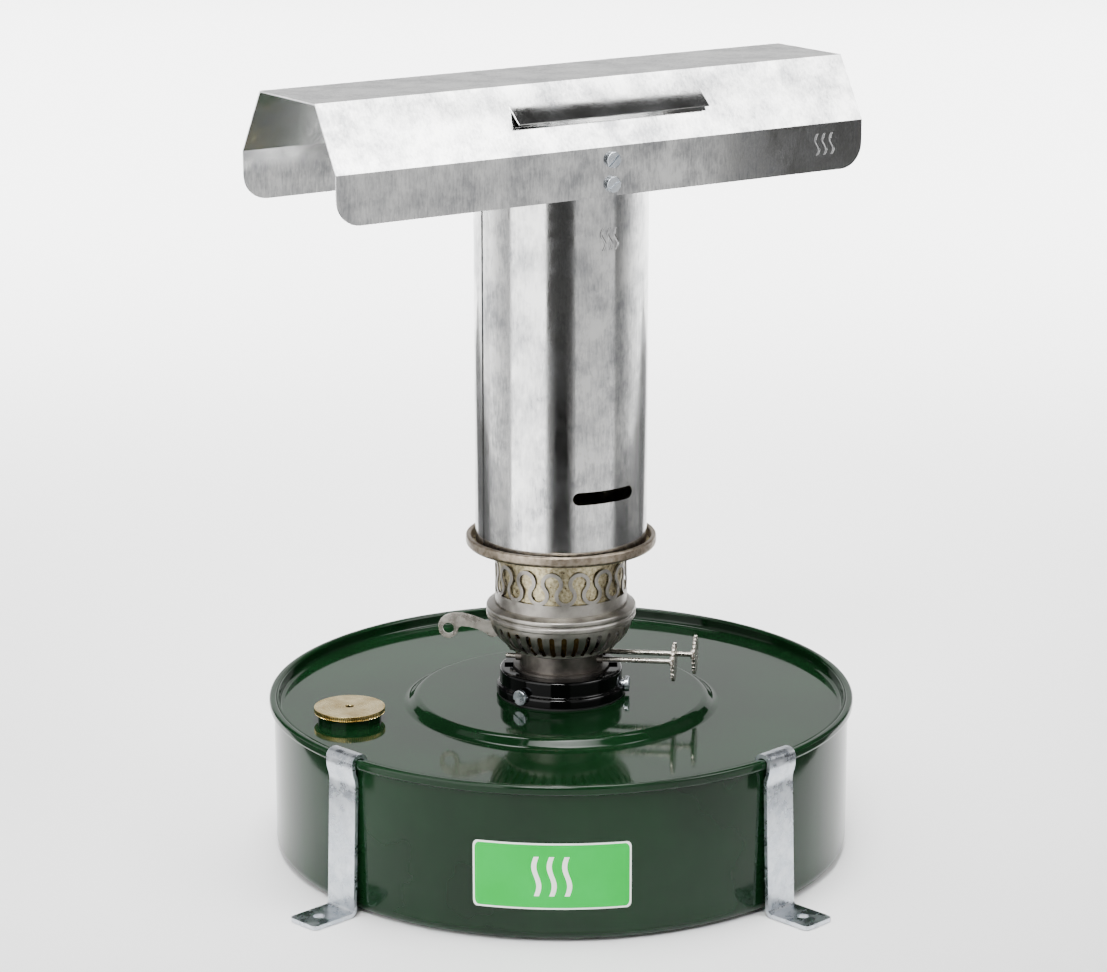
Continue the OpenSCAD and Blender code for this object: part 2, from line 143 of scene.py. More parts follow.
def between(tree, factor, low, high, start=0.35, end=0.65):
    """Maps a pattern's start..end to low..high."""
    return add(tree, "ShaderNodeMapRange", {
        "Value": factor, "From Min": start, "From Max": end,
        "To Min": low, "To Max": high}).outputs["Result"]


def two_tones(tree, factor, dark, light, start=0.35, end=0.65):
    """Colours a pattern from dark, at start, to light, at end."""
    ramp = add(tree, "ShaderNodeValToRGB", {"Fac": factor})
    first, last = ramp.color_ramp.elements
    first.position, first.color = start, srgb(dark)
    last.position, last.color = end, srgb(light)
    return ramp.outputs["Color"]


def relief(tree, surface, height, depth_mm, strength=1.0, under=None):
    """Feeds a pattern to the shader's normal as relief depth_mm deep."""
    inputs = {"Height": height, "Distance": depth_mm * MM, "Strength": strength}
    if under:
        inputs["Normal"] = under
    made = add(tree, "ShaderNodeBump", inputs).outputs["Normal"]
    tree.links.new(made, surface.inputs["Normal"])
    return made


def gloss_enamel(name, dark, light, peel_mm, smear):
    """Stoved gloss enamel on pressed steel: a deep even colour under a mirror-like skin
    that ripples like orange peel and is a little duller where hands have been."""
    made, tree, surface, place = start_material(name, Metallic=0.0, IOR=1.3)
    tree.links.new(two_tones(tree, noise(tree, place, 60), dark, light), surface.inputs["Base Color"])
    tree.links.new(between(tree, noise(tree, place, 34, 4), *smear), surface.inputs["Roughness"])
    relief(tree, surface, noise(tree, place, peel_mm, 1), 0.02, 0.35)
    return made


def stretched(tree, place, factor):
    """Coordinates squeezed along Z, so that lumps come out factor times as tall as wide."""
    return add(tree, "ShaderNodeMapping", {"Vector": place, "Scale": (1, 1, 1 / factor)}).outputs[0]


def galvanised_sheet():
    """Galvanised sheet, bright but never even: cloudy grey patches, fine upright streaks left
    by the coating rolls, faint crystal edges, and a slow oil-can wobble in the flat."""
    made, tree, surface, place = start_material("galvanised_sheet", Metallic=1.0)
    cloud = noise(tree, place, 19, 5, 0.6)
    streak = noise(tree, stretched(tree, place, 5), 1.3, 4, 0.7)
    crystal = add(tree, "ShaderNodeTexVoronoi", {"Vector": place, "Scale": 1 / (5 * MM), "Randomness": 1.0})
    facet = add(tree, "ShaderNodeSeparateColor", {"Color": crystal.outputs["Color"]}).outputs[0]
    tone = add(tree, "ShaderNodeMath", {0: streak, 1: 0.55, 2: cloud}, operation="MULTIPLY_ADD").outputs[0]
    tone = add(tree, "ShaderNodeMath", {0: facet, 1: 0.06, 2: tone}, operation="MULTIPLY_ADD").outputs[0]
    tree.links.new(two_tones(tree, tone, "#97989a", "#dddddb", 0.58, 0.96), surface.inputs["Base Color"])
    tree.links.new(between(tree, tone, 0.24, 0.09, 0.6, 1.0), surface.inputs["Roughness"])
    dents = relief(tree, surface, noise(tree, place, 46, 2), 0.5, 0.22)
    relief(tree, surface, streak, 0.012, 0.5, dents)
    return made


def bare_metal(name, dark, light, roughness, lump_mm, grain_mm, depth_mm):
    """Plated or passivated steel and brass: one metal with cloudy tone and a fine matt grain."""
    made, tree, surface, place = start_material(name, Metallic=1.0)
    cloud = noise(tree, place, lump_mm, 5, 0.6)
    tree.links.new(two_tones(tree, cloud, dark, light), surface.inputs["Base Color"])
    tree.links.new(between(tree, cloud, *roughness), surface.inputs["Roughness"])
    relief(tree, surface, noise(tree, place, grain_mm, 2), depth_mm, 0.5)
    return made


def turned_brass(centre):
    """Brass turned on a lathe: fine concentric rings round the cap's own axis."""
    made, tree, surface, place = start_material("turned_brass", Metallic=1.0)
    own = add(tree, "ShaderNodeMapping", {"Vector": place, "Location": [-c for c in centre]}).outputs[0]
    rings = add(tree, "ShaderNodeTexWave", {
        "Vector": own, "Scale": 1 / (6.5 * MM), "Distortion": 0.6, "Detail": 2.0, "Detail Scale": 2.0,
    }, wave_type="RINGS", rings_direction="Z").outputs["Fac"]
    cloud = noise(tree, place, 9, 4)
    tree.links.new(two_tones(tree, cloud, "#b59d62", "#dccb98"), surface.inputs["Base Color"])
    tree.links.new(between(tree, rings, 0.2, 0.36, 0.0, 1.0), surface.inputs["Roughness"])
    relief(tree, surface, rings, 0.05, 0.5)
    return made


def dielectric(name, dark, light, roughness, lump_mm, depth_mm, ior=1.5):
    """Rubber, cotton and printed film: no metal in it, with a grain of its own."""
    made, tree, surface, place = start_material(name, Metallic=0.0, IOR=ior)
    grain = noise(tree, place, lump_mm, 3)
    tree.links.new(two_tones(tree, grain, dark, light), surface.inputs["Base Color"])
    tree.links.new(between(tree, grain, *roughness), surface.inputs["Roughness"])
    relief(tree, surface, grain, depth_mm, 0.5)
    return made


CAP_LOW, CAP_HIGH = box_mm("filler_cap")
CAP_CENTRE = (CAP_LOW + CAP_HIGH) / 2

MATERIALS = {
    "tank_enamel": gloss_enamel("green_enamel", "#071c0c", "#0a2511", 2.6, (0.05, 0.1)),
    "collar_black": gloss_enamel("black_enamel", "#030303", "#060607", 2.2, (0.06, 0.13)),
    "galvanised_sheet": galvanised_sheet(),
    "burner_metal": bare_metal("matt_nickel", "#8b8781", "#aeaaa3", (0.32, 0.46), 9, 0.5, 0.03),
    "winder_steel": bare_metal("nickel_plated_steel", "#8d877f", "#bab5ac", (0.22, 0.34), 6, 0.6, 0.004),
    "burner_brass": bare_metal("pressed_brass", "#5d5133", "#8f8052", (0.35, 0.5), 7, 0.6, 0.02),
    "seat_gilt": bare_metal("gilt_passivated_steel", "#7d7156", "#d2c8a4", (0.26, 0.44), 1.9, 0.7, 0.03),
    "zinc_plate": bare_metal("bright_zinc_plate", "#b4bbc3", "#dadfe4", (0.22, 0.36), 7, 0.8, 0.006),
    "cap_brass": turned_brass(CAP_CENTRE * MM),
    "seal_rubber": dielectric("black_rubber", "#0c0c0c", "#1c1c1c", (0.5, 0.7), 1.2, 0.03),
    "wick_cotton": dielectric("woven_cotton", "#c8c0ac", "#ece6d6", (0.8, 0.95), 0.9, 0.2),
    "label_film": dielectric("green_printed_film", "#00a83c", "#00b044", (0.3, 0.4), 30, 0.01, 1.05),
}
DULL_STEEL = bare_metal("heat_dulled_steel", "#75695b", "#a39888", (0.3, 0.46), 3, 0.8, 0.02)
# Brass painted dark as shade, for the bowl's inside and the pieces sitting in it
SHADE_DARKENED_BRASS = bare_metal("brass_painted_dark_as_shade", "#2c2414", "#5c4c28", (0.4, 0.55), 5, 0.6, 0.02)
# Nickel painted dark as shade, for the burner's neck down in the collar
SHADE_DARKENED_NICKEL = bare_metal("nickel_painted_dark_as_shade", "#5b5753", "#726d68", (0.34, 0.46), 8, 0.6, 0.02)
WHITE_INK = dielectric("white_printed_film", "#e9efe6", "#f6f8f2", (0.16, 0.24), 18, 0.01)

# ---------- making pieces ----------


def ring_of(bm, points, close=True):
    """An outline in the X-Z plane, as edges; returns its vertices."""
    verts = [bm.verts.new((x, 0, z)) for x, z in points]
    for a, b in zip(verts, verts[1:] + (verts[:1] if close else [])):
        bm.edges.new((a, b))
    return verts


def round_corners(bm, verts, radii, steps=4):
    """Rounds outline corners; radii maps a corner's number to its radius."""
    for number, radius in radii.items():
        bmesh.ops.bevel(bm, geom=[verts[number]], offset=radius * 0.9, offset_type="OFFSET",
                        segments=steps, profile=0.5, affect="VERTICES", material=-1)


def turned(points, radii=None, steps=128, close=True, rounding=4):
    """A body of revolution about Z from an outline in millimetres."""
    bm = bmesh.new()
    verts = ring_of(bm, points, close)
    if radii:
        round_corners(bm, verts, radii, rounding)
    bmesh.ops.spin(bm, geom=bm.verts[:] + bm.edges[:], cent=(0, 0, 0), axis=(0, 0, 1),
                   angle=tau, steps=steps, use_merge=True)
    bmesh.ops.remove_doubles(bm, verts=bm.verts, dist=0.002)
    bmesh.ops.recalc_face_normals(bm, faces=bm.faces)
    return bm


def bake(bm, name, modifiers=(), place=Matrix.Identity(4)):
    """A mesh object in metres from a bmesh in millimetres, with its modifiers applied."""
    bm.transform(Matrix.Scale(MM, 4))
    bm.transform(place)
    mesh = bpy.data.meshes.new(name)
    bm.to_mesh(mesh)
    bm.free()
    made = bpy.data.objects.new(name, mesh)
    bpy.context.scene.collection.objects.link(made)
    for kind, settings in modifiers:
        modifier = made.modifiers.new(kind.lower(), kind)
        for key, value in settings.items():
            setattr(modifier, key, value)
    if modifiers:
        flatten(made)
    return made


def flatten(made):
    """Applies an object's modifiers to its mesh."""
    graph = bpy.context.evaluated_depsgraph_get()
    graph.update()
    mesh = bpy.data.meshes.new_from_object(made.evaluated_get(graph))
    made.modifiers.clear()
    made.data = mesh


def drill(made, cutter):
    """Cuts the bmesh cutter, in millimetres, out of a baked object."""
    tool = bake(cutter, "cutter")
    modifier = made.modifiers.new("drill", "BOOLEAN")
    modifier.object, modifier.operation, modifier.solver = tool, "DIFFERENCE", "EXACT"
    modifier.use_self = True
    flatten(made)
    bpy.data.objects.remove(tool)
    return made


def dress(made, body, slot, replaces=(), crease=32, materials=None):
    """Gives a piece its shading, finish and body."""
    mesh = made.data
    for material in materials or [MATERIALS[slot]]:
        mesh.materials.append(material)
    mesh.polygons.foreach_set("use_smooth", [True] * len(mesh.polygons))
    mesh.set_sharp_from_angle(angle=radians(crease))
    weighting = made.modifiers.new("weighted_normals", "WEIGHTED_NORMAL")
    weighting.keep_sharp = True
    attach(made, body)
    if replaces:
        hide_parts(*replaces)
    return made


def pull_out(bm, edges, vec):
    """Extrudes edges by a vector."""
    made = bmesh.ops.extrude_edge_only(bm, edges=edges)["geom"]
    bmesh.ops.translate(bm, verts=[g for g in made if isinstance(g, bmesh.types.BMVert)], vec=vec)


def rod(bm, radius, length, place, sides=48, end_round=0.0, steps=2):
    """A closed cylinder along its own Z, its top edge rounded, put into bm."""
    part = bmesh.new()
    bmesh.ops.create_cone(part, cap_ends=True, segments=sides, radius1=radius, radius2=radius, depth=length)
    if end_round:
        top = [e for e in part.edges if all(v.co.z > length / 2 - 1e-4 for v in e.verts)]
        bmesh.ops.bevel(part, geom=top, offset=end_round, offset_type="OFFSET", segments=steps,
                        profile=0.5, affect="EDGES", material=-1)
    bmesh.ops.translate(part, verts=part.verts, vec=(0, 0, length / 2))
    part.transform(place)
    join(bm, part)


def slab(bm, size, centre, place=Matrix.Identity(4)):
    """A closed block put into bm."""
    part = bmesh.new()
    bmesh.ops.create_cube(part, size=1)
    bmesh.ops.scale(part, verts=part.verts, vec=size)
    bmesh.ops.translate(part, verts=part.verts, vec=centre)
    part.transform(place)
    join(bm, part)


def capsule(bm, length, width, depth, place):
    """A closed block with round ends: length along X, rounded in X-Y, depth along Z."""
    part = bmesh.new()
    bmesh.ops.create_cube(part, size=1)
    bmesh.ops.scale(part, verts=part.verts, vec=(length, width, depth))
    upright = [e for e in part.edges if abs(e.verts[0].co.z - e.verts[1].co.z) > depth / 2]
    bmesh.ops.bevel(part, geom=upright, offset=width * 0.4995, offset_type="OFFSET", segments=8,
                    profile=0.5, affect="EDGES", material=-1)
    bmesh.ops.translate(part, verts=part.verts, vec=(0, 0, depth / 2))
    part.transform(place)
    join(bm, part)


def join(bm, part):
    """Moves everything in part into bm."""
    mesh = bpy.data.meshes.new("part")
    part.to_mesh(mesh)
    part.free()
    bm.from_mesh(mesh)
    bpy.data.meshes.remove(mesh)


def outward(turn, radius, z):
    """A frame on a drum's wall: its Z points out of the wall, its Y up."""
    face = Matrix(((1, 0, 0, 0), (0, 0, -1, 0), (0, 1, 0, 0), (0, 0, 0, 1)))
    return Matrix.Rotation(turn, 4, "Z") @ Matrix.Translation((0, -radius, z)) @ face


WAVE_SWING = 1.2


def flat_on(share):
    """Flattens what stands out of a drum's wall to a share of its depth."""
    return Matrix.Scale(share, 4, (0, 0, 1))


def heat_waves(bm, place_of_line, height=11.0, wire=0.75, steps=18):
    """Three upright wavy lines proud of a surface; place_of_line gives each line's frame."""
    for line in (-1, 0, 1):
        part = bmesh.new()
        bmesh.ops.create_circle(part, segments=10, radius=wire)
        bmesh.ops.rotate(part, verts=part.verts, cent=(0, 0, 0), matrix=Matrix.Rotation(pi / 2, 3, "X"))
        bmesh.ops.translate(part, verts=part.verts, vec=(0, -height / 2, 0))
        edges = part.edges[:]
        for step in range(steps):
            moved = bmesh.ops.extrude_edge_only(part, edges=edges)["geom"]
            edges = [g for g in moved if isinstance(g, bmesh.types.BMEdge)
                     and len(g.link_faces) == 1]
            verts = [g for g in moved if isinstance(g, bmesh.types.BMVert)]
            here, there = (WAVE_SWING * sin(tau * s / steps) for s in (step, step + 1))
            bmesh.ops.translate(part, verts=verts, vec=(there - here, height / steps, 0))
        for loop in (edges, [e for e in part.edges if len(e.link_faces) == 1 and e not in edges]):
            bmesh.ops.holes_fill(part, edges=loop)
        bmesh.ops.recalc_face_normals(part, faces=part.faces)
        part.transform(place_of_line(line))
        join(bm, part)


# ---------- tank ----------


def make_tank_shell():
    """A pressed bottom and wall in one, with a rolled rim that stands out all round."""
    wall_in = WALL_R - 1
    bm = turned([(0, 0), (WALL_R, 0), (WALL_R, RIM_Z - 5.4), (RIM_R, RIM_Z - 4.9), (RIM_R, RIM_Z),
                 (BEAD_IN, RIM_Z), (BEAD_IN, RIM_Z - 5.4), (wall_in, RIM_Z - 6), (wall_in, 1), (0, 1)],
                {1: 7, 3: 1.5, 4: 1.7, 5: 1.7, 8: 6}, steps=192, rounding=6)
    dress(bake(bm, "tank_shell_enamelled"), "tank", "tank_enamel", ["tank_shell"])


def make_tank_top():
    """A sunk lid with a raised middle, a neck for the collar and a hole for the filler."""
    neck_r, neck_top = 28.5, PLATEAU_Z + 9
    bm = turned([(BEAD_IN - 0.02, PANEL_Z - 1), (BEAD_IN - 0.02, RIM_Z - 0.9), (BEAD_IN - 0.8, RIM_Z - 0.7),
                 (BEAD_IN - 1, PANEL_Z), (79.5, PANEL_Z), (74.5, PLATEAU_Z), (neck_r, PLATEAU_Z),
                 (neck_r, neck_top), (neck_r - 0.8, neck_top), (neck_r - 0.8, PLATEAU_Z - 1),
                 (74.1, PLATEAU_Z - 1), (79, PANEL_Z - 1)],
                {3: 2.5, 4: 2.2, 5: 2.2, 6: 0.8, 10: 2, 11: 2}, steps=192, rounding=5)
    made = bake(bm, "tank_top_enamelled")
    hole = bmesh.new()
    rod(hole, 14, 20, Matrix.Translation((CAP_CENTRE.x, CAP_CENTRE.y, PANEL_Z - 10)), 64)
    drill(made, hole)
    dress(made, "tank", "tank_enamel", ["tank_top"])


def film(name, half_w, low, high, radius, material, replaces=()):
    """A rounded rectangle of film bent round the tank's wall, its middle left of centre."""
    bm = bmesh.new()
    bmesh.ops.create_grid(bm, x_segments=36, y_segments=2, size=0.5)
    bmesh.ops.scale(bm, verts=bm.verts, vec=(2 * half_w, high - low, 1))
    corners = [v for v in bm.verts if abs(v.co.x) > half_w - 1e-3 and abs(v.co.y) > (high - low) / 2 - 1e-3]
    bmesh.ops.bevel(bm, geom=corners, offset=3, offset_type="OFFSET", segments=5, profile=0.5,
                    affect="VERTICES", material=-1)
    for vert in bm.verts:
        turn = (vert.co.x - 4.4) / radius
        vert.co = Vector((radius * sin(turn), -radius * cos(turn), vert.co.y + (low + high) / 2))
    bmesh.ops.recalc_face_normals(bm, faces=bm.faces)
    made = bake(bm, name, [("SOLIDIFY", {"thickness": 0.1 * MM, "offset": 0.0})])
    dress(made, "tank", "label_film", replaces, materials=[material])


def make_label():
    """A plain printed sticker bent round the wall: a green field edged in white, with heat waves."""
    film("tank_label_border", 38.4, 17.2, 50.8, WALL_R + 0.1, WHITE_INK, ["tank_label"])
    film("tank_label_field", 37.5, 18.1, 49.9, WALL_R + 0.2, MATERIALS["label_film"])
    motif = bmesh.new()
    heat_waves(motif, lambda line: outward(line * 0.05 - 0.03, WALL_R + 0.2, 34) @ flat_on(0.15),
               height=20, wire=1.3, steps=24)
    dress(bake(motif, "tank_label_motif"), "tank", "label_film", (), materials=[WHITE_INK])


# ---------- filler cap ----------


def make_filler_cap():
    """A turned disc with a milled edge, a vent hole and a threaded-plug skirt below."""
    cap_r, top, under, edge = 18.0, CAP_HIGH.z, CAP_HIGH.z - 2.2, CAP_HIGH.z - 2.6
    skirt_r, low = 12.35, CAP_LOW.z
    teeth, per = 104, 4
    bm = turned([(1.75, top - 0.5), (2.3, top), (cap_r, top), (cap_r, edge), (16.6, edge), (16.4, under),
                 (skirt_r, under), (skirt_r, low), (skirt_r - 1.25, low), (skirt_r - 1.25, under),
                 (1.75, under)],
                {2: 0.3, 3: 0.3}, steps=teeth * per, rounding=2)
    for vert in bm.verts:
        if vert.co.xy.length > cap_r - 0.05:
            step = round(atan2(vert.co.y, vert.co.x) / tau * teeth * per) % per
            vert.co.xy *= (1, 1, 0.965, 0.965)[step]
    place = Matrix.Translation((CAP_CENTRE.x * MM, CAP_CENTRE.y * MM, 0))
    dress(bake(bm, "filler_cap_turned", place=place), "filler_lid", "cap_brass", ["filler_cap"], crease=24)


# ---------- collar ----------


def make_collar():
    """A stepped drum with a lip at the top, notched for the burner's lugs."""
    bore, lip, drum = 28.6, 24.9, COLLAR_R - 1.8
    shelf = COLLAR_Z + 4.3
    bm = turned([(bore, COLLAR_Z), (COLLAR_R, COLLAR_Z), (COLLAR_R, shelf), (drum, shelf + 0.9),
                 (drum, COLLAR_TOP), (lip, COLLAR_TOP), (lip, COLLAR_TOP - 2), (bore, COLLAR_TOP - 2)],
                {1: 0.5, 2: 1.2, 3: 0.8, 4: 1.5, 5: 0.5}, steps=144)
    made = bake(bm, "burner_collar_enamelled")
    cuts = bmesh.new()
    for side in (-1, 1):
        slab(cuts, (6, 8, 6), (side * (bore - 2.6), 0, COLLAR_TOP))
    for turn in COLLAR_SCREW_TURNS:
        rod(cuts, 2.1, 8, outward(turn, COLLAR_R - 5, COLLAR_Z + 4.3), 32)
    drill(made, cuts)
    dress(made, "tank", "collar_black", ["burner_collar"])


def screw(bm, place, slot_turn, head_r=4.0, head_h=2.1, shank=6.8):
    """A slotted cheese-head screw, its head standing out along the frame's Z."""
    part = bmesh.new()
    rod(part, head_r, head_h, Matrix.Identity(4), 40, 0.45, 3)
    rod(part, 2.0, shank - head_h, Matrix.Translation((0, 0, head_h - shank)), 24)
    made = bake(part, "screw_blank")
    slot = bmesh.new()
    slab(slot, (12, 1.1, 2), (0, 0, head_h), Matrix.Rotation(slot_turn, 4, "Z"))
    drill(made, slot)
    cut = bmesh.new()
    cut.from_mesh(made.data)
    cut.transform(Matrix.Scale(1 / MM, 4))
    cut.transform(place)
    bpy.data.objects.remove(made)
    join(bm, cut)


def make_collar_screws():
    bm = bmesh.new()
    for turn, slot_turn in zip(COLLAR_SCREW_TURNS, (0.55, 1.1, 0.2)):
        screw(bm, outward(turn, COLLAR_R + 0.1, COLLAR_Z + 4.3), slot_turn)
    dress(bake(bm, "collar_screws_plated"), "tank", "zinc_plate", ["collar_screws"])


# ---------- burner ----------

SLOTS = 36


def make_bowl():
    """A cup of thin sheet pierced with upright slots, olive brass inside painted dark as shade."""
    rise = BOWL_TOP - 117.1
    arc_mid, arc_r = Vector((20.5, 117.1 + rise)), 16.1
    arc = [arc_mid + arc_r * Vector((cos(a), sin(a))) for a in (radians(-60 + 6 * i) for i in range(11))]
    foot = [(21.5, BOWL_FOOT), (24.5, BOWL_FOOT + 0.7), (28.2, BOWL_FOOT + 2.25)]
    bm = turned(foot + [tuple(p) for p in arc], steps=180, close=False)
    for face in bm.faces:
        if face.normal.dot(face.calc_center_median() * Vector((1, 1, 0))) < 0:
            face.normal_flip()
    made = bake(bm, "burner_bowl_pierced", [
        ("SOLIDIFY", {"thickness": 0.8 * MM, "offset": -1, "material_offset": 1})])
    cuts = bmesh.new()
    upright = Matrix.Rotation(pi / 2, 4, "Z")
    for i in range(SLOTS):
        capsule(cuts, 12.5, 2.7, 22, outward(i * tau / SLOTS, 20, 108.5 + rise) @ upright)
    drill(made, cuts)
    slot = bmesh.new()
    slab(slot, (16, 2.2, 17.4), (-32, 0, 106.7 + rise))
    drill(made, slot)
    made.data.transform(ABOUT_Z["burner"])
    # The bowl's inner shell gets the brass painted dark as shade
    dress(made, "burner", "burner_metal", ["burner_bowl"],
          materials=[MATERIALS["burner_metal"], SHADE_DARKENED_BRASS])


def make_band():
    """A hoop of sheet between the bowl and the gallery, with one groove round it."""
    low, top, out, groove = BOWL_TOP, BAND_TOP, 38.3, 37.7
    bm = turned([(35.2, low), (out, low), (out, low + 2.3), (groove, low + 2.9), (groove, low + 3.5),
                 (out, low + 4.1), (out, top - 1.5), (35, top), (32.8, top), (32.8, top - 0.8),
                 (34.6, top - 0.8), (35.2, top - 2)],
                {1: 0.8, 2: 0.3, 5: 0.3, 6: 0.8, 7: 0.4}, steps=144, rounding=3)
    made = bake(bm, "burner_band_grooved", place=ABOUT_Z["burner"])
    dress(made, "burner", "burner_metal", ["burner_band"])


LOOPS = 15


def make_gallery():
    """A ribbon that winds round low rings and over arches, standing on a solid band."""
    radius, base = 33.35, BAND_TOP
    half = pi * radius / LOOPS
    low_r, rise = 4.65, 6.2
    low_z = base + 6.2 + low_r + 0.65
    lean = atan2(rise, half)
    sweep = pi + 2 * lean
    bm = bmesh.new()
    first = [(r * cos(pi - lean), 0, low_z + r * sin(pi - lean)) for r in (low_r - 1.0, low_r + 1.0)]
    edge = bm.edges.new([bm.verts.new(p) for p in first])
    for loop in range(LOOPS):
        along = 2 * half * loop
        for centre, way in (((along, 0, low_z), -1), ((along + half, 0, low_z + rise), 1)):
            made = bmesh.ops.spin(bm, geom=edge.verts[:] + [edge], cent=centre, axis=(0, 1, 0),
                                  angle=way * sweep, steps=22, use_merge=False)
            edge = next(g for g in made["geom_last"] if isinstance(g, bmesh.types.BMEdge))
    for vert in bm.verts:
        turn = vert.co.x / radius + radians(4) - BURNER_TURN
        vert.co = Vector((radius * sin(turn), -radius * cos(turn), vert.co.z))
    heights = (0, 2.1, 4.2, 6.25)
    join(bm, turned([(radius, base + h) for h in heights], steps=120, close=False))
    bmesh.ops.remove_doubles(bm, verts=bm.verts, dist=0.01)
    bmesh.ops.recalc_face_normals(bm, faces=bm.faces)
    made = bake(bm, "gallery_openwork", [
        ("SOLIDIFY", {"thickness": 0.8 * MM, "offset": 0, "use_even_offset": True}),
        ("BEVEL", {"width": 0.14 * MM, "segments": 2, "limit_method": "ANGLE",
                   "angle_limit": radians(50)})],
        ABOUT_Z["burner"])
    dress(made, "burner", "burner_metal", ["gallery"])


def make_knob(name, node, body):
    """A thin steel disc with scalloped milling, on a short hub."""
    low, high = box_mm(node)
    middle = (low + high) / 2
    teeth, per = 26, 8
    bm = turned([(1.3, -0.8), (10, -0.8), (10, 0.8), (1.3, 0.8)], {1: 0.25, 2: 0.25},
                steps=teeth * per, rounding=2)
    for vert in bm.verts:
        if vert.co.xy.length > 9:
            phase = (atan2(vert.co.y, vert.co.x) / tau * teeth) % 1
            vert.co.xy *= 1 - 0.07 * max(0, cos(tau * phase)) ** 1.5
    hub = turned([(1.3, -2.2), (2.4, -2.2), (2.4, 0), (1.3, 0)], {1: 0.3}, steps=32, rounding=2)
    join(bm, hub)
    place = Matrix.Translation(middle * MM) @ ABOUT_Z["burner"] @ Matrix.Translation((0.7 * MM, 0, 0)) \
        @ Matrix.Rotation(pi / 2, 4, "Y")
    dress(bake(bm, name, place=place), body, "winder_steel", [node])


def make_lever():
    """A flat stamped comma: finger ring outside, arched arm, toe under the snuffer."""
    lift = BOWL_TOP - 117.1
    ring_x, ring_z, thick = -58.5, 107, 1.2
    outline = [(ring_x - 5.3, ring_z + 1.5), (ring_x - 4.3, ring_z + 4.4), (ring_x - 2.3, ring_z + 6.5),
               (ring_x + 0.6, ring_z + 7.8), (-55, 115.4), (-51, 115.4), (-45.4, 114.1), (-38.9, 111.7),
               (-33, 111.2), (-27, 112), (-24, 111), (-19, 107), (-16, 103.6), (-12, 103.6), (-12, 102.2),
               (-18, 102.2), (-24, 105), (-30, 104.2), (-36.3, 102.8), (-39.5, 105.1), (-43.4, 107),
               (-47.9, 108), (-51.6, 108.2),
               (ring_x + 5.4, ring_z + 0.4), (ring_x + 4.6, ring_z - 3), (ring_x + 2.2, ring_z - 5),
               (ring_x, ring_z - 5.5), (ring_x - 2.8, ring_z - 4.8), (ring_x - 4.9, ring_z - 2.5)]
    bm = bmesh.new()
    verts = ring_of(bm, [(x, z + lift) for x, z in outline])
    round_corners(bm, verts, {i: 1.0 for i in range(len(outline)) if i not in (22, 23)}, 3)
    bmesh.ops.holes_fill(bm, edges=bm.edges[:])
    made = bake(bm, "extinguisher_lever_stamped", [
        ("SOLIDIFY", {"thickness": thick * MM, "offset": 0}),
        ("BEVEL", {"width": 0.2 * MM, "segments": 2, "limit_method": "ANGLE", "angle_limit": radians(60)})])
    holes = bmesh.new()
    for x, z, radius in ((ring_x, ring_z, 2.9), (-27, 109, 1.06)):
        rod(holes, radius, 8, outward(0, -4, z + lift) @ Matrix.Translation((x, 0, 0)), 40)
    drill(made, holes)
    made.data.transform(ABOUT_Z["burner"])
    dress(made, "lever", "winder_steel", ["extinguisher_lever"])


# ---------- chimney seat ----------


def make_seat():
    """A gilt tube whose floor ends in a rolled ring round the chimney's foot."""
    low, high = SEAT_LOW.z, SEAT_HIGH.z
    floor, tube = high - 5.8, 32.4
    bm = turned([(tube - 0.8, low), (tube, low), (tube, floor), (48.5, floor), (48.5, high), (45.7, high),
                 (45.7, floor + 0.8), (tube - 0.8, floor + 0.8)],
                {2: 0.8, 3: 2.4, 4: 1.38, 5: 1.38}, steps=144, rounding=6)
    for face in bm.faces:
        face.material_index = int(face.calc_center_median().xy.length > 40)
    made = bake(bm, "chimney_seat_rolled")
    dress(made, "seat", "seat_gilt", ["chimney_seat"], materials=[MATERIALS["seat_gilt"], DULL_STEEL])


# ---------- chimney ----------


def make_chimney():
    """A rolled tube with a viewing slot, pressed heat waves and its lap seam on the left."""
    low, high, sheet = CHIMNEY_LOW.z, CHIMNEY_HIGH.z, 0.7
    bm = turned([(CHIMNEY_R, low), (CHIMNEY_R, high), (CHIMNEY_R - sheet, high), (CHIMNEY_R - sheet, low)],
                {0: 0.2}, steps=192, rounding=2)
    made = bake(bm, "chimney_tube")
    cuts = bmesh.new()
    slot_z, half, slot_r = 192.2, 14.0, 3.25
    capsule(cuts, 2 * (half + slot_r), 2 * slot_r, 20, outward(CHIMNEY_TURN, 34, slot_z))
    drill(made, cuts)
    details = bmesh.new()
    details.from_mesh(made.data)
    details.transform(Matrix.Scale(1 / MM, 4))
    middle = CHIMNEY_TURN + radians(2)
    heat_waves(details, lambda line: outward(middle + line * 0.085, CHIMNEY_R - 0.05, 322) @ flat_on(0.4))
    lap = bmesh.new()
    edge = lap.edges.new([lap.verts.new((0, -CHIMNEY_R - 0.02, z)) for z in (low, high)])
    bmesh.ops.spin(lap, geom=edge.verts[:] + [edge], cent=(0, 0, 0), axis=(0, 0, 1),
                   angle=radians(9), steps=6)
    bmesh.ops.solidify(lap, geom=lap.faces[:], thickness=0.45)
    bmesh.ops.rotate(lap, verts=lap.verts, cent=(0, 0, 0), matrix=Matrix.Rotation(radians(-72), 3, "Z"))
    bmesh.ops.recalc_face_normals(lap, faces=lap.faces)
    join(details, lap)
    bpy.data.objects.remove(made)
    dress(bake(details, "chimney_tube_galvanised"), "chimney_unit", "galvanised_sheet", ["chimney"])


# ---------- hood ----------

HOOD_LEN, HOOD_TOP_W = 309.0, 52.2
HOOD_W = 2 * (CHIMNEY_R + 0.75)
HOOD_BEND = 367.5
HOOD_LEAN = atan2((HOOD_W - HOOD_TOP_W) / 2, HOOD_HIGH.z - HOOD_BEND)
FLAP_LEN, FLAP_H, FLAP_X, FLAP_Z = 112.0, 12.5, 5.0, 13.3
FLAP_OPEN = radians(19)


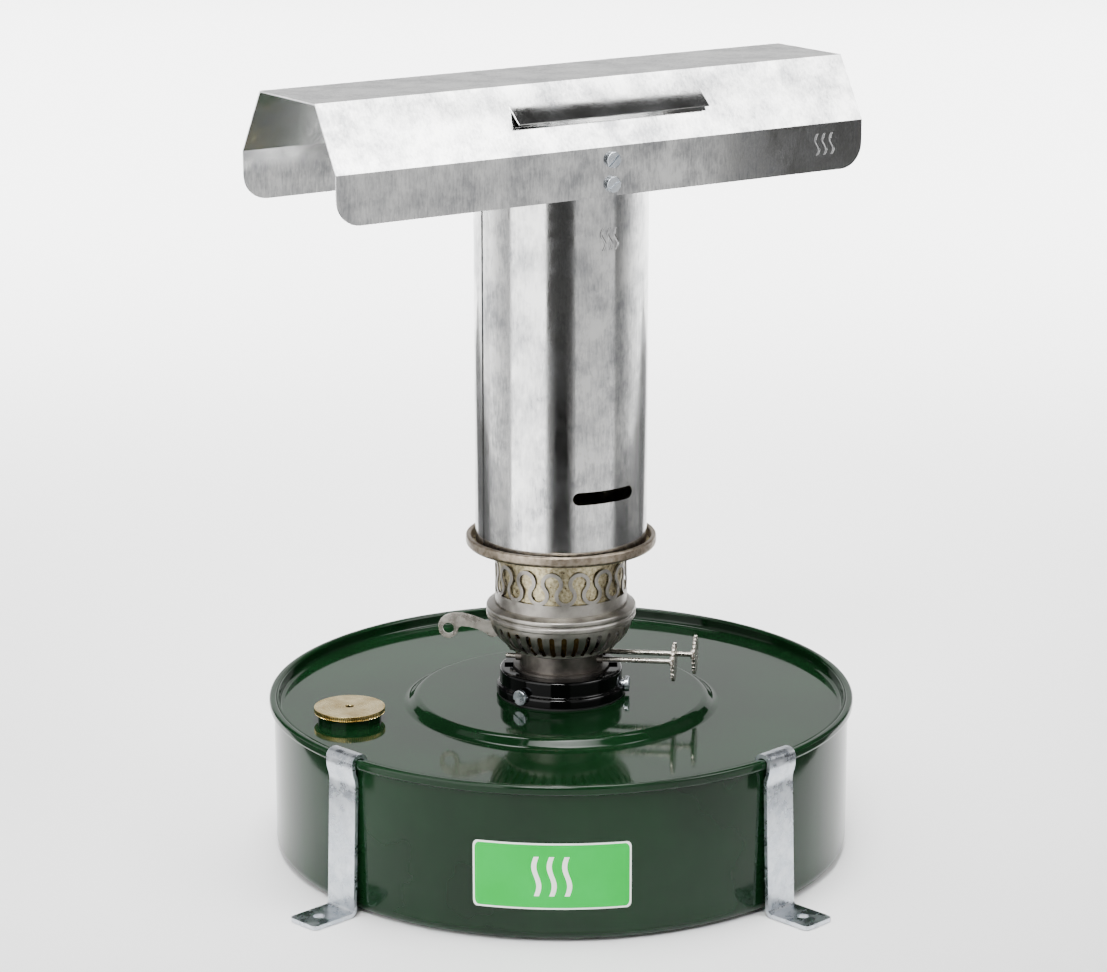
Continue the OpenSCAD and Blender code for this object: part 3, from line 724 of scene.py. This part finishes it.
def slope_frame(side):
    """The hood's front (side 1) or back (side -1) slope: X along it, Z up it from the bend."""
    facing = Matrix.Rotation(0 if side == 1 else pi, 4, "Z")
    bend = Matrix.Translation((0, -HOOD_W / 2, HOOD_BEND))
    return facing @ bend @ Matrix.Rotation(-HOOD_LEAN, 4, "X")


def make_hood():
    """One sheet folded four times, its lower corners rounded, with a flap lanced out of each slope."""
    flat, low, top = HOOD_W / 2, HOOD_LOW.z, HOOD_HIGH.z
    half_top = HOOD_TOP_W / 2
    section = [(-flat, low), (-flat, HOOD_BEND), (-half_top, top),
               (half_top, top), (flat, HOOD_BEND), (flat, low)]
    bm = bmesh.new()
    verts = [bm.verts.new((-HOOD_LEN / 2, y, z)) for y, z in section]
    edges = [bm.edges.new(pair) for pair in zip(verts, verts[1:])]
    pull_out(bm, edges, (HOOD_LEN, 0, 0))
    corners = [v for v in bm.verts if v.co.z < low + 1]
    bmesh.ops.bevel(bm, geom=corners, offset=12.7, offset_type="OFFSET", segments=9, profile=0.5,
                    affect="VERTICES", material=-1)
    for side in (1, -1):
        place = slope_frame(side)
        normal = (place.to_3x3() @ Vector((0, -1, 0))).normalized()
        cuts = [((FLAP_X - FLAP_LEN / 2, 0, 0), (1, 0, 0)), ((FLAP_X + FLAP_LEN / 2, 0, 0), (1, 0, 0)),
                ((0, 0, FLAP_Z), (0, 0, 1)), ((0, 0, FLAP_Z + FLAP_H), (0, 0, 1))]
        for point, along in cuts:
            slope = [f for f in bm.faces if abs(f.normal.dot(normal)) > 0.99
                     and f.calc_center_median().y * normal.y > 0]
            geom = list({g for f in slope for g in (*f.verts, *f.edges, f)})
            bmesh.ops.bisect_plane(bm, geom=geom, dist=0.001, plane_co=place @ Vector(point),
                                   plane_no=place.to_3x3() @ Vector(along))
            bm.normal_update()
        middle = place @ Vector((FLAP_X, 0, FLAP_Z + FLAP_H / 2))
        window = min(bm.faces, key=lambda f: (f.calc_center_median() - middle).length)
        hinge = max(window.edges,
                    key=lambda e: sum(v.co.z for v in e.verts) - 0.001 * abs(e.calc_length() - FLAP_LEN))
        bmesh.ops.delete(bm, geom=[window], context="FACES_ONLY")
        hang_down = Matrix.Rotation(-FLAP_OPEN, 3, "X") @ Vector((0, 0, -FLAP_H + 0.4))
        pull_out(bm, [hinge], place.to_3x3() @ hang_down)
    folds = [e for e in bm.edges if len(e.link_faces) == 2 and e.calc_face_angle(0) > radians(20)
             and abs(e.verts[0].co.x - e.verts[1].co.x) > 100 and e.calc_length() > 200]
    bmesh.ops.bevel(bm, geom=folds, offset=1.5, offset_type="OFFSET", segments=4, profile=0.5,
                    affect="EDGES", material=-1)
    bmesh.ops.recalc_face_normals(bm, faces=bm.faces)
    top_face = max(bm.faces, key=lambda f: f.calc_center_median().z)
    if top_face.normal.z < 0:
        bmesh.ops.reverse_faces(bm, faces=bm.faces)
    made = bake(bm, "hood_sheet", [
        ("SOLIDIFY", {"thickness": 0.7 * MM, "offset": -1, "use_even_offset": True})])
    details = bmesh.new()
    details.from_mesh(made.data)
    details.transform(Matrix.Scale(1 / MM, 4))
    for side in (0, 1):
        heat_waves(details, lambda line: Matrix.Rotation(side * pi, 4, "Z")
                   @ Matrix.Translation((HOOD_LEN / 2 - 24 + line * 4.6, 0, 0)) @ outward(0, flat, 357)
                   @ flat_on(0.35))
    bpy.data.objects.remove(made)
    folded = bake(details, "hood_folded", place=ABOUT_Z["hood"])
    dress(folded, "chimney_unit", "galvanised_sheet", ["hood"], crease=25)


def make_hood_screws():
    bm = bmesh.new()
    for side, turn in ((0, 0.0), (1, pi)):
        for z, slot_turn in ((349, 0.5), (361, 0.75)):
            screw(bm, outward(HOOD_TURN + turn, HOOD_W / 2 + 0.05, z), slot_turn + side, shank=7.3)
    dress(bake(bm, "hood_screws_plated"), "chimney_unit", "zinc_plate", ["hood_screws"])


# ---------- brackets ----------

FOOT_R = box_mm("bracket_rear")[1].y


def make_bracket(name, turn, node, body):
    """Plated strap: a hook over the rim, a joggle under it, down the wall and out to a foot."""
    thick, width = 2.0, 19.0
    inner, outer = 143.4, RIM_R + 1.3
    bm = bmesh.new()
    over = RIM_Z + 1.4
    verts = ring_of(bm, [(inner, RIM_Z - 4.5), (inner, over), (outer, over), (outer, RIM_Z - 6.6),
                         (149.4, RIM_Z - 11), (151.9, 1), (FOOT_R, 1)], close=False)
    round_corners(bm, verts, {1: 3.6, 2: 3.6, 3: 3.5, 4: 3.5, 5: 2.6}, 5)
    pull_out(bm, bm.edges[:], (0, width, 0))
    bmesh.ops.translate(bm, verts=bm.verts, vec=(0, -width / 2, 0))
    tips = [v for v in bm.verts if v.co.x > FOOT_R - 0.5]
    bmesh.ops.bevel(bm, geom=tips, offset=2.5, offset_type="OFFSET", segments=4, profile=0.5,
                    affect="VERTICES", material=-1)
    bmesh.ops.recalc_face_normals(bm, faces=bm.faces)
    made = bake(bm, name, [("SOLIDIFY", {"thickness": thick * MM, "offset": 0, "use_even_offset": True}),
                           ("BEVEL", {"width": 0.35 * MM, "segments": 2, "limit_method": "ANGLE",
                                      "angle_limit": radians(50)})])
    hole = bmesh.new()
    rod(hole, 2.9, 8, Matrix.Translation((FOOT_R - 11, 0, -3)), 40)
    drill(made, hole)
    made.data.transform(Matrix.Rotation(turn - pi / 2, 4, "Z"))
    dress(made, body, "zinc_plate", [node])


make_tank_shell()
make_tank_top()
make_label()
make_filler_cap()
make_collar()
make_collar_screws()
make_bowl()
make_band()
make_gallery()
make_knob("winder_knob_front_milled", "winder_knob_front", "winder_front")
make_knob("winder_knob_rear_milled", "winder_knob_rear", "winder_rear")
make_lever()
make_seat()
make_chimney()
make_hood()
make_hood_screws()
make_bracket("bracket_front_left_strap", -BRACKET_TURN, "bracket_front_left", "left_bracket")
make_bracket("bracket_front_right_strap", BRACKET_TURN, "bracket_front_right", "right_bracket")
make_bracket("bracket_rear_strap", pi, "bracket_rear", "rear_bracket")

# ---------- finishes on the CAD nodes that stay ----------

# Inner pieces painted dark as shade, down in the bowl and the collar, whatever they are made of
PAINTED_SHADE_PARTS = {"burner_neck": SHADE_DARKENED_NICKEL, "snuffer": SHADE_DARKENED_BRASS, "wick_tube_front": SHADE_DARKENED_BRASS,
          "wick_tube_rear": SHADE_DARKENED_BRASS, "lever_bracket": SHADE_DARKENED_BRASS}
for part in frame["record"]["subparts"]:
    kept = frame["nodes"][part["node"]]
    kept.data.materials.clear()
    kept.data.materials.append(PAINTED_SHADE_PARTS.get(part["node"], MATERIALS[part["material_slot"]]))

# ---------- floor and light ----------


def stage_sheet(name, size, place, colour):
    """A flat floor or mat, which isn't part of the object."""
    bm = bmesh.new()
    bmesh.ops.create_grid(bm, x_segments=1, y_segments=1, size=0.5)
    bmesh.ops.scale(bm, verts=bm.verts, vec=(size[0], size[1], 1))
    bm.transform(place)
    mesh = bpy.data.meshes.new(name)
    bm.to_mesh(mesh)
    bm.free()
    card = bpy.data.objects.new(name, mesh)
    bpy.context.scene.collection.objects.link(card)
    paint, _, surface, _ = start_material(name, Roughness=0.9)
    surface.inputs["Base Color"].default_value = srgb(colour)
    mesh.materials.append(paint)
    return card


stage_sheet("floor", (16, 16), Matrix.Translation((0, 2, -0.0004)), "#f2f2f2")
# Dark mats that only mirror-like reflections see: they deepen the dark bands in the bright sheet,
# while the floor itself stays pale in every view
for name, size, x, y, turn in (("front_mat", (0.3, 0.85), 0, -0.83, 0),
                               ("left_mat", (0.5, 1.3), -0.62, 0.45, 8.9),
                               ("right_mat", (0.5, 1.3), 0.62, 0.45, -8.9)):
    spot = Matrix.Translation((x, y, 0)) @ Matrix.Rotation(radians(turn), 4, "Z")
    mat = stage_sheet(name, size, spot, "#343434")
    mat.visible_camera = mat.visible_shadow = mat.visible_diffuse = False


def soft_box(name, turn, distance, heights, width, power, spread=180):
    """A soft light standing round the object: turn from the front, towards the right."""
    data = bpy.data.lights.new(name, "AREA")
    data.shape = "RECTANGLE"
    data.size, data.size_y = width, heights[1] - heights[0]
    data.energy = power
    data.spread = radians(spread)
    lamp = bpy.data.objects.new(name, data)
    middle = (heights[0] + heights[1]) / 2
    lamp.location = (distance * sin(radians(turn)), -distance * cos(radians(turn)), middle)
    lamp.rotation_euler = (pi / 2, 0, radians(turn))
    lamp.visible_camera = False
    bpy.context.scene.collection.objects.link(lamp)
    return lamp


# Panels close round the object, with gaps that leave dark bands in the bright sheet
soft_box("left_front", -43, 0.6, (0.0, 1.0), 0.54, 7.0)
soft_box("left_side", -89, 0.6, (0.0, 1.0), 0.4, 1.1)
soft_box("right_front", 45, 0.62, (0.0, 1.0), 0.66, 1.9)
soft_box("right_side", 112, 0.62, (0.0, 1.0), 0.3, 0.16)
soft_box("backdrop", 180, 4.6, (0.02, 2.8), 6.0, 58)


def hang(name, place, aim, size, power, spread):
    """A soft light hung over the object, aimed at a point."""
    lamp = soft_box(name, 0, 0, (0, size[1]), size[0], power, spread)
    lamp.location = place
    lamp.rotation_euler = (Vector(aim) - Vector(place)).to_track_quat("-Z", "Y").to_euler()


hang("overhead", (0, 0.12, 1.5), (0, 0.12, 0), (0.9, 0.9), 3.2, 40)
hang("front_top", (-0.15, -1.15, 1.55), (0, 0, 0.12), (0.6, 0.3), 1.1, 30)
hang("slope_light", (1.6, -0.48, 1.75), (0, 0, 0.38), (1.3, 0.9), 4, 60)
hang("floor_wash", (0, 2.6, 2.4), (0, 2.6, 0), (5.0, 3.8), 400, 66)

world = bpy.data.worlds.new("studio")
bpy.context.scene.world = world
world.use_nodes = True
world.node_tree.nodes["Background"].inputs["Color"].default_value = srgb("#ffffff")
world.node_tree.nodes["Background"].inputs["Strength"].default_value = 0.045
